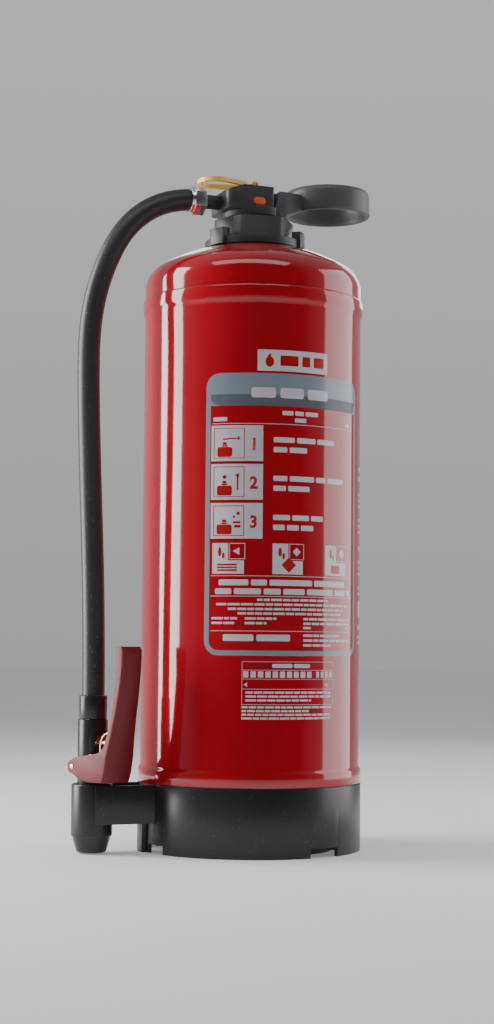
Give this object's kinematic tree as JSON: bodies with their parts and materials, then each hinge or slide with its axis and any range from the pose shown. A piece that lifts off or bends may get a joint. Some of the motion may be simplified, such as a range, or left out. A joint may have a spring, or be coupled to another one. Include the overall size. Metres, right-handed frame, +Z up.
{
  "type": "fire extinguisher",
  "caption": "Red dry powder fire extinguisher with dished steel container, black head, lifting ring handle, yellow safety strap, side hose and squeeze pistol clipped to a plastic foot ring.",
  "frame": {"origin": "on the container's axis, in the plane of the floor that the foot ring stands on", "axes": "+Z up along the container's axis; -Y is the way the label faces; the hose and pistol hang on the -X side and the ring handle points to +X"},
  "size_m": [0.2711, 0.1922, 0.5829],
  "materials": {
    "red_paint": "gloss enamel",
    "black_plastic": "satin moulded",
    "handle_plastic": "satin moulded",
    "label_print": "screen print",
    "powder": "loose powder",
    "bare_steel": "zinc plated",
    "tube_metal": "drawn tube",
    "seal_rubber": "smooth",
    "hose_rubber": "satin rubber",
    "bright_metal": "bright nickel",
    "brass": "turned",
    "orange_plastic": "satin moulded",
    "yellow_plastic": "soft gloss",
    "red_plastic": "soft gloss"
  },
  "bodies": {
    "container": {"container_body": "red_paint", "container_dome": "red_paint", "container_base": "red_paint", "upper_weld": "red_paint", "lower_weld": "red_paint", "neck_boss": "red_paint", "foot_ring": "black_plastic", "front_label": "label_print", "badge_label": "label_print", "inspection_label": "label_print", "side_label": "label_print", "powder_charge": "powder", "co2_cartridge": "bare_steel", "dip_tube": "tube_metal", "gas_tube": "tube_metal", "neck_gasket": "seal_rubber", "collar_nut": "black_plastic", "head_body": "black_plastic", "head_cover": "black_plastic", "cover_screws": "bare_steel", "inspection_plug": "orange_plastic", "relief_valve": "brass", "outlet_stub": "black_plastic", "hose_nipple": "bright_metal", "hose_nut": "bright_metal", "hose": "hose_rubber", "handle_pin": "bare_steel", "piercing_spring": "bare_steel"},
    "carry_handle": {"carry_handle": "handle_plastic"},
    "piercing_pin": {"piercing_pin": "bare_steel"},
    "safety_strap": {"safety_strap": "yellow_plastic"},
    "pistol": {"pistol_body": "black_plastic", "nozzle": "black_plastic", "nozzle_insert": "bare_steel", "hose_ferrule": "black_plastic", "pistol_barb": "bright_metal", "lever_pin": "bare_steel", "lever_spring": "bare_steel"},
    "pistol_lever": {"lever": "red_plastic"},
    "valve_spool": {"valve_spool": "brass", "spool_seals": "seal_rubber"}
  },
  "joints": [
    {"name": "handle_lift", "type": "hinge", "parent": "container", "child": "carry_handle", "pos_m": [0.0175, 0, 0.5515], "axis": [0, -1, 0], "range_deg": [0, 13]},
    {"name": "piercing_slide", "type": "slide", "parent": "container", "child": "piercing_pin", "axis": [0, 0, -1], "range_m": [0, 0.0027], "stiffness_N_per_m": 300, "deforming": ["piercing_spring"]},
    {"name": "strap_pull", "type": "slide", "parent": "container", "child": "safety_strap", "axis": [0, 0, 1], "range_m": [0, 0.02]},
    {"name": "pistol_unclip", "type": "slide", "parent": "container", "child": "pistol", "axis": [0, 0, 1], "range_m": [0, 0.078], "deforming": ["hose"]},
    {"name": "lever_squeeze", "type": "hinge", "parent": "pistol", "child": "pistol_lever", "pos_m": [-0.14537, 0.00813, 0.072], "axis": [-0.9239, -0.3827, 0], "range_deg": [0, 15], "stiffness_Nm_per_rad": 0.6, "springref_deg": -22.92, "deforming": ["lever_spring"]},
    {"name": "spool_slide", "type": "slide", "parent": "pistol", "child": "valve_spool", "axis": [-0.3827, 0.9239, 0], "range_m": [0, 0.0063]}
  ],
  "couplings": [
    {"joint": "piercing_slide", "follows": "handle_lift", "m_per_rad": 0.0118},
    {"joint": "spool_slide", "follows": "lever_squeeze", "m_per_rad": 0.02368}
  ]
}
